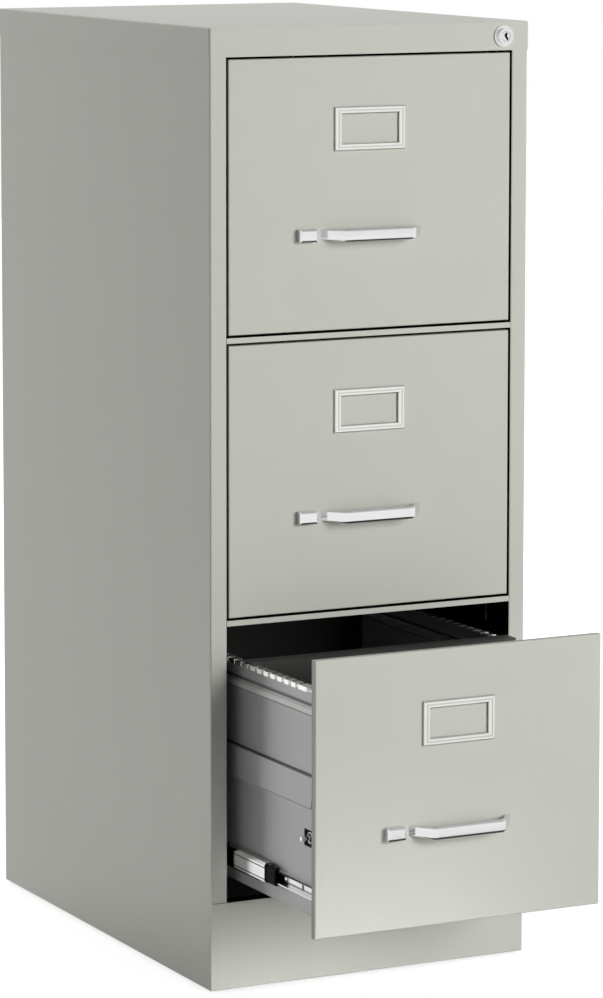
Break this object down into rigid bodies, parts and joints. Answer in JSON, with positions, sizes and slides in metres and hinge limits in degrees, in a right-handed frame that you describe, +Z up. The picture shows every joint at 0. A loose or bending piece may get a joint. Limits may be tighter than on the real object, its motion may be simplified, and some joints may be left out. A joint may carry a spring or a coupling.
{
  "type": "filing cabinet",
  "caption": "Vertical filing cabinet with stacked drawers on telescopic slides, bail handles, thumb latches, label holders, follower plates and a push lock.",
  "frame": {"origin": "on the floor, under the centre of the cabinet body", "axes": "+Z up, the front faces -Y, X runs along the front"},
  "size_m": [0.383, 0.784, 1.03],
  "materials": {
    "putty_paint": "semi-gloss powder coat",
    "grey_paint": "semi-gloss powder coat",
    "dark_paint": "satin",
    "zinc_plated_steel": "bright zinc plate",
    "chrome": "polished",
    "satin_aluminium": "satin",
    "black_plastic": "moulded"
  },
  "bodies": {
    "cabinet": {"side_panel_left": "putty_paint", "side_panel_right": "putty_paint", "back_panel": "putty_paint", "top_cap": "putty_paint", "head_rail": "putty_paint", "kick_plate": "putty_paint", "cross_rail_1": "putty_paint", "cross_rail_2": "putty_paint", "front_uprights": "putty_paint", "rear_uprights": "putty_paint", "corner_gussets": "putty_paint", "glides": "black_plastic", "lock_housing": "chrome", "bar_guides": "zinc_plated_steel", "latch_catches": "zinc_plated_steel", "drawer_1_slide_outer": "zinc_plated_steel", "drawer_2_slide_outer": "zinc_plated_steel", "drawer_3_slide_outer": "zinc_plated_steel"},
    "drawer_1": {"drawer_1_front": "putty_paint", "drawer_1_side_left": "grey_paint", "drawer_1_side_right": "grey_paint", "drawer_1_floor": "grey_paint", "drawer_1_back": "grey_paint", "drawer_1_label_holder": "satin_aluminium", "drawer_1_handle": "chrome", "drawer_1_slide_inner": "zinc_plated_steel"},
    "drawer_1_middle": {"drawer_1_slide_middle": "zinc_plated_steel"},
    "drawer_1_cage": {"drawer_1_slide_cage": "black_plastic"},
    "drawer_1_latch": {"drawer_1_latch_button": "chrome", "drawer_1_latch_rod": "zinc_plated_steel"},
    "drawer_1_follower": {"drawer_1_follower": "dark_paint"},
    "drawer_2": {"drawer_2_front": "putty_paint", "drawer_2_side_left": "grey_paint", "drawer_2_side_right": "grey_paint", "drawer_2_floor": "grey_paint", "drawer_2_back": "grey_paint", "drawer_2_label_holder": "satin_aluminium", "drawer_2_handle": "chrome", "drawer_2_slide_inner": "zinc_plated_steel"},
    "drawer_2_middle": {"drawer_2_slide_middle": "zinc_plated_steel"},
    "drawer_2_cage": {"drawer_2_slide_cage": "black_plastic"},
    "drawer_2_latch": {"drawer_2_latch_button": "chrome", "drawer_2_latch_rod": "zinc_plated_steel"},
    "drawer_2_follower": {"drawer_2_follower": "dark_paint"},
    "drawer_3": {"drawer_3_front": "putty_paint", "drawer_3_side_left": "grey_paint", "drawer_3_side_right": "grey_paint", "drawer_3_floor": "grey_paint", "drawer_3_back": "grey_paint", "drawer_3_label_holder": "satin_aluminium", "drawer_3_handle": "chrome", "drawer_3_slide_inner": "zinc_plated_steel"},
    "drawer_3_middle": {"drawer_3_slide_middle": "zinc_plated_steel"},
    "drawer_3_cage": {"drawer_3_slide_cage": "black_plastic"},
    "drawer_3_latch": {"drawer_3_latch_button": "chrome", "drawer_3_latch_rod": "zinc_plated_steel"},
    "drawer_3_follower": {"drawer_3_follower": "dark_paint"},
    "lock_plunger": {"lock_plunger": "chrome"},
    "lock_plug": {"lock_plug": "chrome"},
    "lock_bar": {"lock_bar": "zinc_plated_steel"}
  },
  "joints": [
    {"name": "drawer_1_slide", "type": "slide", "parent": "cabinet", "child": "drawer_1", "axis": [0, -1, 0], "range_m": [0, 0.46]},
    {"name": "drawer_1_middle_slide", "type": "slide", "parent": "cabinet", "child": "drawer_1_middle", "axis": [0, -1, 0], "range_m": [0, 0.23]},
    {"name": "drawer_1_cage_slide", "type": "slide", "parent": "cabinet", "child": "drawer_1_cage", "axis": [0, -1, 0], "range_m": [0, 0.345]},
    {"name": "drawer_1_latch_slide", "type": "slide", "parent": "drawer_1", "child": "drawer_1_latch", "axis": [1, 0, 0], "range_m": [0, 0.007], "stiffness_N_per_m": 300, "springref_m": -0.01},
    {"name": "drawer_1_follower_slide", "type": "slide", "parent": "drawer_1", "child": "drawer_1_follower", "axis": [0, 1, 0], "range_m": [-0.11, 0.31]},
    {"name": "drawer_2_slide", "type": "slide", "parent": "cabinet", "child": "drawer_2", "axis": [0, -1, 0], "range_m": [0, 0.46]},
    {"name": "drawer_2_middle_slide", "type": "slide", "parent": "cabinet", "child": "drawer_2_middle", "axis": [0, -1, 0], "range_m": [0, 0.23]},
    {"name": "drawer_2_cage_slide", "type": "slide", "parent": "cabinet", "child": "drawer_2_cage", "axis": [0, -1, 0], "range_m": [0, 0.345]},
    {"name": "drawer_2_latch_slide", "type": "slide", "parent": "drawer_2", "child": "drawer_2_latch", "axis": [1, 0, 0], "range_m": [0, 0.007], "stiffness_N_per_m": 300, "springref_m": -0.01},
    {"name": "drawer_2_follower_slide", "type": "slide", "parent": "drawer_2", "child": "drawer_2_follower", "axis": [0, 1, 0], "range_m": [-0.11, 0.31]},
    {"name": "drawer_3_slide", "type": "slide", "parent": "cabinet", "child": "drawer_3", "axis": [0, -1, 0], "range_m": [-0.2, 0.26]},
    {"name": "drawer_3_middle_slide", "type": "slide", "parent": "cabinet", "child": "drawer_3_middle", "axis": [0, -1, 0], "range_m": [-0.1, 0.13]},
    {"name": "drawer_3_cage_slide", "type": "slide", "parent": "cabinet", "child": "drawer_3_cage", "axis": [0, -1, 0], "range_m": [-0.15, 0.195]},
    {"name": "drawer_3_latch_slide", "type": "slide", "parent": "drawer_3", "child": "drawer_3_latch", "axis": [1, 0, 0], "range_m": [0, 0.007], "stiffness_N_per_m": 300, "springref_m": -0.01},
    {"name": "drawer_3_follower_slide", "type": "slide", "parent": "drawer_3", "child": "drawer_3_follower", "axis": [0, 1, 0], "range_m": [-0.11, 0.31]},
    {"name": "lock_plunger_slide", "type": "slide", "parent": "cabinet", "child": "lock_plunger", "axis": [0, 1, 0], "range_m": [0, 0.005], "stiffness_N_per_m": 2000, "springref_m": -0.01},
    {"name": "lock_plug_turn", "type": "hinge", "parent": "lock_plunger", "child": "lock_plug", "pos_m": [0.1597, -0.287, 1.0142], "axis": [0, 1, 0], "range_deg": [0, 90]},
    {"name": "lock_bar_slide", "type": "slide", "parent": "cabinet", "child": "lock_bar", "axis": [0, 0, -1], "range_m": [0, 0.008]}
  ],
  "couplings": [
    {"joint": "drawer_1_middle_slide", "follows": "drawer_1_slide", "ratio": 0.5},
    {"joint": "drawer_1_cage_slide", "follows": "drawer_1_slide", "ratio": 0.75},
    {"joint": "drawer_2_middle_slide", "follows": "drawer_2_slide", "ratio": 0.5},
    {"joint": "drawer_2_cage_slide", "follows": "drawer_2_slide", "ratio": 0.75},
    {"joint": "drawer_3_middle_slide", "follows": "drawer_3_slide", "ratio": 0.5},
    {"joint": "drawer_3_cage_slide", "follows": "drawer_3_slide", "ratio": 0.75},
    {"joint": "lock_bar_slide", "follows": "lock_plunger_slide", "ratio": 1.6}
  ]
}
